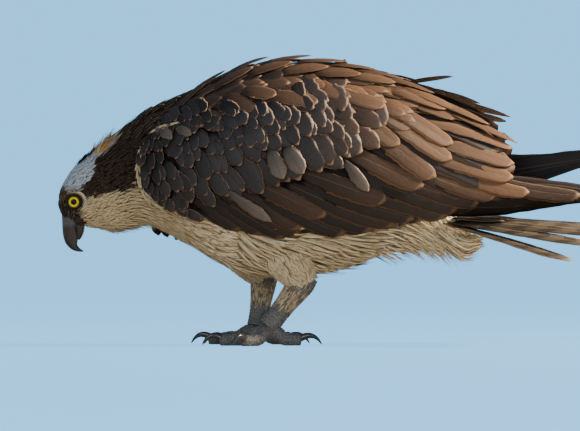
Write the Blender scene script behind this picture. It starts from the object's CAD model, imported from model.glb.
# Osprey, life size: a still bird on its feet, with its head bent down and its wings loosely folded.
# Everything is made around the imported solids, in metres, with the bill towards -X and the left side -Y.
import math

import bmesh
import bpy
import numpy as np
from mathutils import Matrix, Vector


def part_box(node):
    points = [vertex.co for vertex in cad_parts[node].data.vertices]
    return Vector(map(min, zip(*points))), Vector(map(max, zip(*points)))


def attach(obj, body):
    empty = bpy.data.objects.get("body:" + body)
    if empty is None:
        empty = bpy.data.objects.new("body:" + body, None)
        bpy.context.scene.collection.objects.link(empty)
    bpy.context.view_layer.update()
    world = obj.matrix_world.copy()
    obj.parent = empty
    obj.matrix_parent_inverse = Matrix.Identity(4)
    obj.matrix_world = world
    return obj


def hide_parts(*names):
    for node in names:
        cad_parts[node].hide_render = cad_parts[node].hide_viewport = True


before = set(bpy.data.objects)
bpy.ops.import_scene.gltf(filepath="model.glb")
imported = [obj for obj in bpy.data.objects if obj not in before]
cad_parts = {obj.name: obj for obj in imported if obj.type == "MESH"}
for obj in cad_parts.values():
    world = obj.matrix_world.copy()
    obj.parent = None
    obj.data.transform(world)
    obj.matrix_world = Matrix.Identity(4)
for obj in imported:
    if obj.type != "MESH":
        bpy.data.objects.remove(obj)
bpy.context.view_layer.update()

# The drawing: every place on the bird is measured in millimetres on its side view, and the solid of the
# left eye ties the drawing to the frame.
MM = 0.001
EYE = {"x": -193.5, "y": 16.2, "z": 143.0, "r": 7.6}
eye_low, eye_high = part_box("eye_left")
eye_now = (eye_low + eye_high) / 2
SHIFT = np.array([eye_now.x / MM - EYE["x"], eye_now.y / MM + EYE["y"], eye_now.z / MM - EYE["z"]])


def metres(points):
    """Drawing points in millimetres, as metres in the solids' frame."""
    return (np.asarray(points, float) + SHIFT) * MM


# Camera: a long lens at the bird's own height, square to its left side and far off, so that one pixel of
# the frame is one millimetre on the bird.
FRAME_WIDTH = 580.0
AIM = (22.0, 129.5)
LENS = 400.0
camera_data = bpy.data.cameras.new("camera")
camera_data.lens = LENS
camera_data.sensor_width = 36.0
camera_data.clip_end = 60.0
camera = bpy.data.objects.new("camera", camera_data)
bpy.context.scene.collection.objects.link(camera)
away = FRAME_WIDTH * LENS / camera_data.sensor_width
camera.location = metres([AIM[0], -away, AIM[1]])
camera.rotation_euler = (math.pi / 2, 0, 0)
bpy.context.scene.camera = camera


# Backdrop: one sheet of pale paper that runs out as the floor and sweeps up behind the bird. The camera
# sees it sky blue, and the bird is lit by its weaker and warmer bounce.
SWEEP = {"half": 16.0, "front": -16.0, "back": 9.0, "radius": 4.0, "top": 14.0, "steps": 12}
PAPER = {"seen": (0.03, 0.08, 0.13, 1), "bounce": (0.46, 0.42, 0.36, 1),
         "seen_glow": (0.32, 0.96, 1.66, 1), "bounce_glow": (0.13, 0.13, 0.125, 1)}


def put(tree, node, **settings):
    """Sets or links a node's inputs, named with _ for a space, and its own settings in small letters."""
    for name, value in settings.items():
        title = name.replace("_", " ")
        if name[0].islower():
            setattr(node, name, value)
        elif isinstance(value, bpy.types.NodeSocket):
            tree.links.new(value, node.inputs[title])
        else:
            node.inputs[title].default_value = value
    return node


def add(tree, kind, **settings):
    return put(tree, tree.nodes.new("ShaderNode" + kind), **settings)


def material(name):
    made = bpy.data.materials.new(name)
    made.use_nodes = True
    return made, made.node_tree, made.node_tree.nodes["Principled BSDF"]


def make_smooth(bm):
    for face in bm.faces:
        face.smooth = True


def object_from(bm, name, finish=None):
    mesh = bpy.data.meshes.new(name)
    bm.to_mesh(mesh)
    bm.free()
    made = bpy.data.objects.new(name, mesh)
    if finish:
        mesh.materials.append(finish)
    bpy.context.scene.collection.objects.link(made)
    return made


paper, tree, shader = material("pale_paper")
camera_ray = add(tree, "LightPath").outputs["Is Camera Ray"]
for socket, blue, bounce in (("Base_Color", PAPER["seen"], PAPER["bounce"]),
                             ("Emission_Color", PAPER["seen_glow"], PAPER["bounce_glow"])):
    choose = add(tree, "Mix", data_type="RGBA", Factor=camera_ray, A=bounce, B=blue)
    put(tree, shader, **{socket: choose.outputs["Result"]})
put(tree, shader, Roughness=0.95, Specular_IOR_Level=0.1, Emission_Strength=1.0)
bm = bmesh.new()
edge = [bm.verts.new((-SWEEP["half"], y, 0)) for y in (SWEEP["front"], SWEEP["back"])]
for step in range(1, SWEEP["steps"] + 1):
    turn = math.pi / 2 * step / SWEEP["steps"]
    y = SWEEP["back"] + SWEEP["radius"] * math.sin(turn)
    edge.append(bm.verts.new((-SWEEP["half"], y, SWEEP["radius"] * (1 - math.cos(turn)))))
edge.append(bm.verts.new((-SWEEP["half"], SWEEP["back"] + SWEEP["radius"], SWEEP["top"])))
rims = [bm.edges.new(pair) for pair in zip(edge, edge[1:])]
swept = bmesh.ops.extrude_edge_only(bm, edges=rims)["geom"]
bmesh.ops.translate(bm, verts=[v for v in swept if isinstance(v, bmesh.types.BMVert)],
                    vec=(2 * SWEEP["half"], 0, 0))
make_smooth(bm)
floor = object_from(bm, "paper_sweep", paper)


# Light: a low warm sun from behind the tail, a soft fill in front, a low lamp under the belly, and pale
# sky all round.
LAMPS = [
    # name, place, aim, size, power, colour
    ("sun", (1.85, 0.05, 1.25), (0, 0, 0.15), 0.3, 165, (1.0, 0.79, 0.58)),
    ("fill", (-1.3, -3.4, 1.6), (0, 0, 0.12), 2.0, 40, (0.90, 0.96, 1.0)),
    ("low", (0.6, -3.6, 0.6), (0.05, 0, 0.1), 1.2, 26, (1.0, 0.92, 0.80)),
]
for name, place, aim, size, power, colour in LAMPS:
    data = bpy.data.lights.new(name, "AREA")
    data.shape = "DISK"
    data.size = size
    data.energy = power
    data.color = colour
    lamp = bpy.data.objects.new(name, data)
    bpy.context.scene.collection.objects.link(lamp)
    lamp.location = place
    lamp.rotation_euler = (Vector(aim) - Vector(place)).to_track_quat("-Z", "Y").to_euler()
world = bpy.data.worlds.new("sky")
world.use_nodes = True
world.node_tree.nodes["Background"].inputs["Color"].default_value = (0.62, 0.74, 0.88, 1)
world.node_tree.nodes["Background"].inputs["Strength"].default_value = 0.36
bpy.context.scene.world = world


# Body: the flesh under the feathers from the face to the vent. It is drawn as stations of the crown's or
# back's point (x, z), the throat's or belly's point (x, z) and half width, and the skin lies inside the
# solids by the depth of the coat.
BODY = np.array([
    [-204.5, 129, -183, 118, 9],
    [-209, 141, -176, 117, 16],
    [-208.5, 153, -169, 116.5, 20.5],
    [-203, 165, -158, 116, 23.5],
    [-193, 179, -148, 116, 26],
    [-178, 191, -136, 118, 29],
    [-164, 202, -122, 121, 34],
    [-143, 218, -105, 115, 43],
    [-118, 236, -83, 103, 53],
    [-88, 248, -63, 90, 60],
    [-53, 262, -43, 79, 65],
    [-18, 273, -18, 73, 68],
    [32, 278, 32, 70, 69],
    [82, 266, 77, 77, 62],
    [127, 238, 117, 91, 50],
    [157, 206, 147, 97, 38],
    [180, 172, 175, 95, 28],
    [195, 150, 195, 93, 19],
    [202, 130, 202, 105, 9],
])
LAST = len(BODY) - 1


def row_at(rows, at):
    """A smooth value of the rows at each fractional row."""
    at = np.asarray(at, float)
    i = np.clip(np.floor(at).astype(int), 0, len(rows) - 2)
    t = (at - i)[..., None]
    a, b, c, d = (rows[np.clip(i + k, 0, len(rows) - 1)] for k in (-1, 0, 1, 2))
    return b + 0.5 * t * (c - a + t * (2 * a - 5 * b + 4 * c - d + t * (3 * (b - c) + d - a)))


def body_surface(at, angle):
    """Points of the body and of its axis; the angle runs from the belly (-90) to the back (90) and on."""
    xt, zt, xb, zb, w = np.moveaxis(row_at(BODY, np.clip(at, 0, LAST)), -1, 0)
    centre = np.stack([(xt + xb) / 2, 0 * xt, (zt + zb) / 2], -1)
    up = np.stack([(xt - xb) / 2, 0 * xt, (zt - zb) / 2], -1)
    turn = np.radians(angle)
    side = np.stack([0 * xt, -w * np.cos(turn), 0 * xt], -1)
    return centre + up * np.sin(turn)[..., None] + side, centre


def unit(v):
    return v / np.maximum(np.linalg.norm(v, axis=-1, keepdims=True), 1e-9)


def outward(surface, a, b, da=0.05, db=1.0):
    """The surface's points and outward normals."""
    here, centre = surface(a, b)
    along = surface(a + da, b)[0] - surface(a - da, b)[0]
    around = surface(a, b + db)[0] - surface(a, b - db)[0]
    normal = unit(np.cross(along, around))
    flip = np.sign(np.sum(normal * (here - centre), -1, keepdims=True))
    return here, normal * np.where(flip == 0, 1, flip)


# Face: the flesh swells and sinks under its short feathers as soft forms for the brow, the hollow round
# the eye, the cheek and the lore. Each form is a place, its reach and its height.
FACE_FORMS = [
    ((-192, 19, 153.5), (13, 8, 4.5), 4.2),
    ((-203, 12, 147), (6, 6, 6), 1.6),
    ((EYE["x"], 22, EYE["z"]), (8, 9, 7.5), -4.4),
    ((-176, 20, 134), (13, 9, 9), 1.8),
    ((-194, 13, 125), (9, 8, 6), -4.5),
]


def face_form(points):
    """How far the face swells at each point."""
    p = points.copy()
    p[..., 1] = np.abs(p[..., 1])
    total = np.zeros(p.shape[:-1])
    for place, reach, height in FACE_FORMS:
        total += height * np.exp(-np.sum(((p - place) / reach) ** 2, -1))
    return total


def head_surface(at, angle):
    here, centre = body_surface(at, angle)
    return here + unit(here - centre) * face_form(here)[..., None], centre


COAT = {"head": 1.4, "body": 2.4, "from": 4.5, "to": 7.5, "thigh": 2.5}
SKIN = {"rings": 120, "sides": 72, "thigh_rings": 14, "thigh_sides": 36, "voxel": 1.8}


def coat_depth(at):
    grown = np.clip((at - COAT["from"]) / (COAT["to"] - COAT["from"]), 0, 1)
    return COAT["head"] + (COAT["body"] - COAT["head"]) * grown


def loft(bm, rings):
    """Circles set on each ring's points, bridged from one to the next and closed at both ends."""
    loops = []
    for ring in rings:
        made = bmesh.ops.create_circle(bm, cap_ends=False, segments=len(ring), radius=1.0)
        for vert, place in zip(made["verts"], ring):
            vert.co = place
        loops.append(sorted({e for v in made["verts"] for e in v.link_edges}, key=lambda e: e.index))
    for one, two in zip(loops, loops[1:]):
        bmesh.ops.bridge_loops(bm, edges=one + two)
    for loop in (loops[0], loops[-1]):
        bmesh.ops.edgeloop_fill(bm, edges=loop)
    bmesh.ops.recalc_face_normals(bm, faces=bm.faces)
    make_smooth(bm)


# Legs: each is flesh and bone from hip to hock and from hock to ankle. A limb is drawn as rows of the
# fraction along it, half width and half depth.
LEGS = {
    "left": {"side": -1, "hip": (14, 34, 98), "hock": (35, 32, 64), "ankle": (2, 30, 21)},
    "right": {"side": 1, "hip": (-22, 34, 98), "hock": (-4, 32, 68), "ankle": (-10, 30, 21)},
}
THIGH = np.array([[-0.25, 8, 14], [0.0, 15, 21], [0.25, 19, 25], [0.55, 18.5, 22], [0.85, 15, 17.5],
                  [1.0, 12.6, 14]])
TARSUS = np.array([[-0.16, 9.5, 11], [0.04, 12, 13], [0.25, 10.6, 11.8], [0.55, 9.2, 9.8], [0.85, 9.6, 9.8],
                   [1.04, 10.5, 10.5]])


def limb_surface(rows, start, end):
    """Surface of a straight limb: fraction along it, angle round it."""
    start, end = np.array(start, float), np.array(end, float)
    line = unit(end - start)
    across = unit(np.array([0, 1.0, 0]) - line * line[1])
    up = np.cross(line, across)

    def surface(t, angle):
        turn = np.radians(angle)
        w, h = np.interp(t, rows[:, 0], rows[:, 1]), np.interp(t, rows[:, 0], rows[:, 2])
        centre = start + (end - start) * np.asarray(t)[..., None]
        out = across * (w * np.cos(turn))[..., None] + up * (h * np.sin(turn))[..., None]
        return centre + out, centre

    return surface


def sided(place, leg):
    return (place[0], leg["side"] * place[1], place[2])


# Skin: one closed surface for head, neck, body and thighs, under the whole depth of the feathers. The
# body and the thighs are lofted apart and then grown into one another.
bm = bmesh.new()
around = -90 + 360 * np.arange(SKIN["sides"]) / SKIN["sides"]
rings = []
for at in np.linspace(0, LAST, SKIN["rings"]):
    here, normal = outward(head_surface, np.full(SKIN["sides"], at), around)
    rings.append(metres(here - normal * coat_depth(at)))
loft(bm, rings)
around = 360 * np.arange(SKIN["thigh_sides"]) / SKIN["thigh_sides"]
for leg in LEGS.values():
    surface = limb_surface(THIGH, sided(leg["hip"], leg), sided(leg["hock"], leg))
    rings = []
    for t in np.linspace(THIGH[0, 0], THIGH[-1, 0], SKIN["thigh_rings"]):
        here, centre = surface(np.full(SKIN["thigh_sides"], t), around)
        rings.append(metres(here - unit(here - centre) * COAT["thigh"]))
    loft(bm, rings)
skin = object_from(bm, "plumage_skin")
fuse = skin.modifiers.new("fuse", "REMESH")
fuse.mode = "VOXEL"
fuse.voxel_size = SKIN["voxel"] * MM
fuse.use_smooth_shade = True
whole = bpy.data.meshes.new_from_object(skin.evaluated_get(bpy.context.evaluated_depsgraph_get()))
skin.modifiers.clear()
skin.data = whole

# Markings: where the white, the cream and the dark brown lie on the body, by formula, so that the skin
# and the feathers that grow from it are coloured alike.
DARK = np.array([0.024, 0.0165, 0.0135])
BLACKISH = np.array([0.012, 0.009, 0.008])
CROWN = np.array([0.42, 0.49, 0.58])
CREAM = np.array([0.47, 0.39, 0.24])
WHITE = np.array([0.54, 0.475, 0.33])
BUFF = np.array([0.34, 0.22, 0.11])
ORANGE = np.array([0.62, 0.33, 0.10])
STRIPE_TOP = [[-200, 149], [-190, 156], [-182, 162], [-176, 166], [-173, 176], [-171, 188], [-160, 193],
              [-156, 200], [-150, 204], [-147, 400]]
STRIPE_FOOT = [[-200, 143], [-184, 145], [-171, 148.5], [-159, 151], [-148, 153], [-136, 155], [-130, 164],
               [-110, 150], [-60, 124], [60, 128], [160, 158], [210, 175]]
LORE = {"x": -207, "z": 141, "wide": 12, "high": 19}
BELOW_EYE = {"x": -196, "z": 131.5, "wide": 12.5, "high": 7.5}
CRESCENT = {"from_eye": 11.6, "inner": 1.3, "outer": 2.3}
SKIN_SHADE = 0.85


def soft(value, low, high):
    t = np.clip((value - low) / (high - low), 0, 1)
    return t * t * (3 - 2 * t)


def between(value, low, full, fading, gone):
    """Rises softly from low to full, and falls again from fading to gone."""
    return soft(value, low, full) * (1 - soft(value, fading, gone))


def mix(a, b, share):
    return a + (b - a) * share[..., None]


def inside(x, z, patch, low, high):
    """How far points lie inside an oval patch, softly between two shares of its reach."""
    return 1 - soft(np.hypot((x - patch["x"]) / patch["wide"], (z - patch["z"]) / patch["high"]), low, high)


def markings(points, noise):
    """Colour of the body's plumage at points in the drawing; the noise (-1 to 1) roughens its edges."""
    x, y, z = np.moveaxis(points, -1, 0)
    top = np.interp(x, *np.array(STRIPE_TOP).T) + 1.6 * noise
    foot = np.interp(x, *np.array(STRIPE_FOOT).T) + 2.4 * noise
    stripe = soft(z, foot - 1.5, foot + 1.5) * (1 - soft(z, top - 1.5, top + 1.5)) * soft(x, -190, -184)
    pale = mix(CREAM, WHITE * 1.04, soft(x, -155, -40))
    pale = mix(pale, WHITE * 1.35, soft(x, 80, 170))
    pale = mix(pale, CROWN, soft(z, 150, 160) * (1 - soft(x, -160, -140)))
    pale = mix(pale, BUFF, 0.55 * soft(noise, 0.35, 0.9) * (1 - soft(x, -60, 40)) * (1 - soft(z, 140, 156)))
    nape = soft(z, 182, 196) * between(x, -172, -158, -150, -142)
    pale = mix(pale, BUFF, 0.6 * nape * soft(noise, -0.2, 0.8))
    colour = mix(pale, DARK, stripe)
    eye_gap = np.hypot(x - EYE["x"], (z - EYE["z"]) * 1.05)
    ring = (1 - soft(eye_gap, 8.2, 10.5)) * soft(np.abs(y), 8, 12)
    lore = inside(x, z, LORE, 0.7, 1.05) * (0.9 + 0.1 * noise)
    below = inside(x, z, BELOW_EYE, 0.65, 1.05) * (0.8 + 0.2 * noise)
    crescent = 1 - soft(np.abs(eye_gap - CRESCENT["from_eye"]), CRESCENT["inner"], CRESCENT["outer"])
    crescent = crescent * soft(x - EYE["x"], 4, 7) * soft(z - EYE["z"], 1, 4)
    colour = mix(colour, WHITE, np.clip(crescent, 0, 1))
    colour = mix(colour, BLACKISH, np.clip(ring, 0, 1))
    colour = mix(colour, DARK * 1.2, np.clip(np.maximum(lore, below), 0, 1))
    streak = between(x, -174, -168, -158, -153) * (1 - soft(np.abs(y), 6, 11)) * soft(z, 189, 194)
    return mix(colour, DARK, np.clip(streak * (0.6 + 0.6 * noise), 0, 1))


def set_colour(mesh, name, colours):
    layer = mesh.color_attributes.new(name, "FLOAT_COLOR", "POINT")
    filled = np.ones((len(mesh.vertices), 4))
    filled[:, : colours.shape[1]] = colours
    layer.data.foreach_set("color", filled.astype(np.float32).ravel())


chance = np.random.default_rng(11)
skin_points = np.array([v.co for v in skin.data.vertices]) / MM - SHIFT
set_colour(skin.data, "Tint", markings(skin_points, chance.uniform(-1, 1, len(skin_points))) * SKIN_SHADE)
skin_finish, tree, shader = material("skin_under_feathers")
place = add(tree, "TexCoord").outputs["Object"]
down = add(tree, "TexNoise", Scale=900, Detail=4, Vector=place).outputs["Fac"]
fluff = add(tree, "Bump", Strength=0.6, Distance=0.001, Height=down).outputs["Normal"]
tint = add(tree, "VertexColor", layer_name="Tint").outputs["Color"]
put(tree, shader, Base_Color=tint, Normal=fluff, Roughness=0.95)
skin.data.materials.append(skin_finish)
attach(skin, "root")
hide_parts("head", "neck", "torso", "thigh_left", "thigh_right")


# Feathers: each is a closed horny vane with a camber, laid along the surface it grows from, its root under
# the one before. A tract is one mesh, with each feather's place on the bird as its patch of the bake map,
# and its own u across and v along in the map Vane.
OUTLINES = {
    "contour": [[0, 0.25], [0.3, 0.85], [0.65, 1.0], [0.88, 0.78], [1, 0.22]],
    "flight": [[0, 0.3], [0.12, 0.72], [0.35, 0.95], [0.7, 1.0], [0.89, 0.91], [0.96, 0.7], [1, 0.25]],
    "long": [[0, 0.3], [0.2, 0.8], [0.5, 1.0], [0.75, 0.82], [0.92, 0.48], [1, 0.1]],
    "covert": [[0, 0.3], [0.25, 0.8], [0.55, 1.0], [0.78, 0.95], [0.9, 0.72], [0.97, 0.42], [1, 0.12]],
    "lance": [[0, 0.3], [0.3, 1.0], [0.6, 0.75], [0.85, 0.36], [1, 0.05]],
}
BLADE = {"crowd": 0.9, "edge": 0.9, "slant": 0.22, "hook": 1.4, "thin": 0.75, "patch": 0.003, "margin": 0.08}


def vane_faces(n, m):
    """Corner numbers of one closed vane: n stations of m points above, and what its underside adds."""
    top = np.arange(n * m).reshape(n, m)
    under = top.copy()
    under[1:-1, 1:-1] = n * m + np.arange((n - 2) * (m - 2)).reshape(n - 2, m - 2)
    quads = []
    for grid, turned in ((top, False), (under, True)):
        corners = [grid[:-1, :-1], grid[:-1, 1:], grid[1:, 1:], grid[1:, :-1]]
        if turned:
            corners.reverse()
        quads.append(np.stack(corners, -1).reshape(-1, 4))
    return np.concatenate(quads), n * m + (n - 2) * (m - 2)


def feathers(name, surface, root, tip, width, rise, tint, finish, outline="contour", grid=(5, 3), thick=0.3,
             camber=0.12, tilt=0.0, sag=0.0, fray=0.0, fringe=0.0, seed=1, home=None, lean=0.0,
             steps=(0.05, 1.0)):
    """One mesh of vanes; root and tip are places on the surface, rise the lift at root, quarter and tip."""
    n, m = grid
    count = len(root)
    chance = np.random.default_rng(seed)
    t = np.linspace(0, 1, n) ** BLADE["crowd"]
    u = np.linspace(-1, 1, m)
    shape = np.interp(t, *np.array(OUTLINES[outline]).T)
    spread = lambda v: np.broadcast_to(np.asarray(v, float), (count,))
    bend = spread(sag)[:, None] * 4 * t * (1 - t)
    a = root[:, :1] + (tip - root)[:, :1] * t
    b = root[:, 1:] + (tip - root)[:, 1:] * t - bend
    here, normal = outward(surface, a, b, *steps)
    along = unit(np.gradient(here, axis=1))
    side = unit(np.cross(normal, along))
    lift = np.stack([np.interp(t, [0, 0.25, 1], r) for r in np.broadcast_to(rise, (count, 3))])
    half = spread(width)[:, None] / 2 * shape * (1 + fray * chance.uniform(-1, 1, (count, n)))
    reach = half[..., None] * u * (1 + lean * u)
    ragged = 1 + fray * chance.uniform(-1, 1, (count, n, m)) * (np.abs(u) > BLADE["edge"])
    height = lift[..., None] + spread(tilt)[:, None, None] * reach
    height += camber * half[..., None] * (1 - u**2)
    slant = -BLADE["slant"] * np.abs(reach) * (t[:, None] > 0.5) * (t[:, None] < 0.99)
    slant = slant - BLADE["hook"] * lean * reach * t[:, None] ** 6
    middle = here[:, :, None] + side[:, :, None] * (reach * ragged)[..., None]
    middle += normal[:, :, None] * height[..., None] + along[:, :, None] * slant[..., None]
    body_of = (1 - BLADE["thin"] * u**2) * thick / 2
    top = middle + normal[:, :, None] * body_of[:, None]
    under = middle - normal[:, :, None] * body_of[:, None]
    points = np.concatenate([top.reshape(count, -1, 3), under[:, 1:-1, 1:-1].reshape(count, -1, 3)], 1)
    quads, each = vane_faces(n, m)
    corners = (quads[None] + each * np.arange(count)[:, None, None]).reshape(-1, 4)
    mesh = bpy.data.meshes.new(name)
    mesh.from_pydata(metres(points.reshape(-1, 3)), [], corners.tolist())
    mesh.polygons.foreach_set("use_smooth", np.ones(len(mesh.polygons), bool))
    vane = np.stack(np.broadcast_arrays(((u + 1) / 2)[None, :], t[:, None]), -1)
    vane = np.concatenate([vane.reshape(-1, 2), vane[1:-1, 1:-1].reshape(-1, 2)])
    if home is None:
        side_of = int(np.ceil(np.sqrt(count)))
        cell = np.stack([np.arange(count) % side_of, np.arange(count) // side_of], -1)
        patch = (cell[:, None] + BLADE["margin"] + (1 - 2 * BLADE["margin"]) * vane) / side_of
    else:
        patch = home[:, None] + BLADE["patch"] * (vane - 0.5)
    flat = quads.reshape(-1)
    for title, per_point in (("OFBake", patch), ("Vane", np.broadcast_to(vane, (count, each, 2)))):
        layer = mesh.uv_layers.new(name=title)
        layer.data.foreach_set("uv", per_point[:, flat].astype(np.float32).ravel())
    shade = np.concatenate([tint, np.broadcast_to(fringe, (count,))[:, None]], 1)
    set_colour(mesh, "Tint", np.repeat(shade, each, 0))
    mesh.materials.append(finish)
    made = bpy.data.objects.new(name, mesh)
    bpy.context.scene.collection.objects.link(made)
    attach(made, "root")
    return made


# Vane finish: horny barbs that slant from the shaft, a pale worn rim, the shaft itself and blotches along
# the length, painted by each vane's own u and v. Every kind of feather has its own values.
RIM = {"side": 0.84, "side_rise": 8, "tip": 0.94, "tip_rise": 22, "from": 0.35}
SHAFT = {"root": 0.075, "taper": 0.045, "shows": 0.45, "stands": 1.5}
BARS = {"number": 38, "slant": 1.5, "share": 0.1, "dark": 0.5}
BARB = {"slant": 0.5, "waver": 9, "shade": 0.12, "stands": 0.35}
SHADE = {"middle": 0.6, "level": 0.95, "least": 0.1, "one_side": 0.35}


def vane_group():
    group = bpy.data.node_groups.new("Vane", "ShaderNodeTree")
    for way, titles in (("INPUT", {"Tint": "Color", "Fringe": "Float", "Vane": "Vector", "Barbs": "Float",
                                   "Rim": "Color", "Shaft": "Color", "Bars": "Float", "Depth": "Float"}),
                        ("OUTPUT", {"Color": "Color", "Height": "Float"})):
        for title, kind in titles.items():
            group.interface.new_socket(name=title, in_out=way, socket_type="NodeSocket" + kind)
    given = group.nodes.new("NodeGroupInput").outputs
    out = group.nodes.new("NodeGroupOutput")

    def calc(operation, *values):
        node = add(group, "Math", operation=operation)
        for slot, value in zip(node.inputs, values):
            if isinstance(value, bpy.types.NodeSocket):
                group.links.new(value, slot)
            else:
                slot.default_value = value
        return node.outputs[0]

    def blend(share, one, two):
        return add(group, "Mix", data_type="RGBA", Factor=share, A=one, B=two).outputs["Result"]

    split = add(group, "SeparateXYZ", Vector=given["Vane"]).outputs
    v = split["Y"]
    from_shaft = calc("SUBTRACT", split["X"], 0.5)
    off = calc("ABSOLUTE", from_shaft)
    across = calc("MULTIPLY", off, 2)
    phase = calc("MULTIPLY", calc("SUBTRACT", v, calc("MULTIPLY", off, BARB["slant"])), given["Barbs"])
    waver = add(group, "TexNoise", Scale=9, Vector=given["Vane"]).outputs["Fac"]
    barb = calc("SINE", calc("ADD", phase, calc("MULTIPLY", waver, BARB["waver"])))
    fibre = add(group, "CombineXYZ", X=calc("MULTIPLY", phase, 0.10), Y=across, Z=calc("MULTIPLY", v, 3.0))
    streak = add(group, "TexNoise", Scale=1.6, Detail=4, Vector=fibre.outputs[0]).outputs["Fac"]
    grain = calc("ADD", calc("SUBTRACT", streak, 0.5), calc("MULTIPLY", from_shaft, SHADE["one_side"]))
    rim_side = calc("MULTIPLY", calc("SUBTRACT", across, RIM["side"]), RIM["side_rise"])
    rim_tip = calc("MULTIPLY", calc("SUBTRACT", v, RIM["tip"]), RIM["tip_rise"])
    rim = calc("MAXIMUM", calc("SMOOTH_MIN", rim_side, 1, 0.1), rim_tip)
    rim = calc("MINIMUM", calc("MAXIMUM", rim, 0), 1)
    rim = calc("MULTIPLY", calc("MULTIPLY", rim, calc("GREATER_THAN", v, RIM["from"])), given["Fringe"])
    shaft = calc("LESS_THAN", across, calc("SUBTRACT", SHAFT["root"], calc("MULTIPLY", v, SHAFT["taper"])))
    bars = calc("ADD", calc("MULTIPLY", v, BARS["number"]), calc("MULTIPLY", across, BARS["slant"]))
    bars = calc("MULTIPLY", calc("GREATER_THAN", calc("SINE", bars), BARS["share"]), given["Bars"])
    depth = calc("MULTIPLY", calc("SUBTRACT", v, SHADE["middle"]), given["Depth"])
    level = calc("ADD", calc("ADD", SHADE["level"], depth), calc("MULTIPLY", barb, BARB["shade"]))
    level = calc("MAXIMUM", calc("ADD", level, grain), SHADE["least"])
    dim = add(group, "HueSaturation", Color=given["Tint"], Value=level).outputs["Color"]
    barred = add(group, "HueSaturation", Color=dim, Value=BARS["dark"]).outputs["Color"]
    colour = blend(rim, blend(bars, dim, barred), given["Rim"])
    colour = blend(calc("MULTIPLY", shaft, SHAFT["shows"]), colour, given["Shaft"])
    relief = calc("ADD", calc("MULTIPLY", barb, BARB["stands"]), calc("MULTIPLY", shaft, SHAFT["stands"]))
    put(group, out, Color=colour, Height=relief)
    return group


VANE = vane_group()


def vane_finish(name, barbs, rim, shaft, bars=0.0, rough=0.5, relief=0.00015, sheen=0.3, depth=1.0):
    made, tree, shader = material(name)
    tint = add(tree, "VertexColor", layer_name="Tint").outputs
    chart = add(tree, "UVMap", uv_map="Vane").outputs["UV"]
    vane = add(tree, "Group", node_tree=VANE, Tint=tint["Color"], Fringe=tint["Alpha"], Vane=chart,
               Barbs=barbs, Rim=(*rim, 1), Shaft=(*shaft, 1), Bars=bars, Depth=depth).outputs
    bump = add(tree, "Bump", Strength=0.5, Distance=relief, Height=vane["Height"]).outputs["Normal"]
    put(tree, shader, Base_Color=vane["Color"], Normal=bump, Roughness=rough, Specular_IOR_Level=sheen)
    return made


soft_finish = vane_finish("soft_feathers", 70, (0.50, 0.40, 0.26), (0.30, 0.24, 0.17), rough=0.85, sheen=0.1,
                          depth=0.35)
covert_finish = vane_finish("wing_coverts", 150, (0.30, 0.21, 0.15), (0.03, 0.024, 0.02), sheen=0.25)
flight_finish = vane_finish("flight_feathers", 300, (0.30, 0.185, 0.11), (0.09, 0.055, 0.035), relief=0.0003,
                            sheen=0.22)
tail_finish = vane_finish("tail_feathers", 330, (0.40, 0.32, 0.22), (0.30, 0.24, 0.16), bars=1.0)


# Contour feathers: soft feathers in staggered rows over the head, neck and body, smallest on the face, each
# rooted in the skin and coloured by the markings. None grow under the wings, the mantle or the bill.
def rows_of(first, last, spacing, gap):
    """Places (station, angle) in staggered rings; spacing along and gap around, in millimetres."""
    places = []
    at = first
    odd = False
    while at < last:
        row = row_at(BODY, at)
        ahead = row_at(BODY, min(LAST, at + 0.1))
        per_station = max(4.0, np.hypot(*((row[:4] - ahead[:4]).reshape(2, 2).mean(0))) * 10)
        girth = math.pi * (row[4] + np.hypot(row[0] - row[2], row[1] - row[3]) / 2)
        number = max(8, int(girth / gap))
        angle = -90 + 360 * (np.arange(number) + 0.5 * odd) / number
        places.append(np.stack([np.full(number, at), angle], -1))
        at += spacing / per_station
        odd = not odd
    return np.concatenate(places)


def stretch(surface, root, least=0.0):
    """Millimetres to one station at each root."""
    here = surface(root[:, 0], root[:, 1])[0]
    ahead = surface(np.minimum(root[:, 0] + 0.2, LAST), root[:, 1])[0]
    return np.maximum(np.linalg.norm(ahead - here, axis=1) / 0.2, least)


def tips_of(root, reach, drift):
    """Tips that lie behind their roots by a reach in stations, drifted round the body, short of its end."""
    tip = root + np.stack([reach, drift], -1)
    tip[:, 0] = np.minimum(tip[:, 0], LAST - 0.02)
    return tip


def home_of(along, angle):
    """Each root's place on the unwrap of the skin, from its share of the length and its angle."""
    return np.stack([0.02 + 0.96 * along, (angle % 360) / 360 * 0.96 + 0.02], -1)


def body_home(root):
    return home_of(root[:, 0] / LAST, root[:, 1] + 90)


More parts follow.
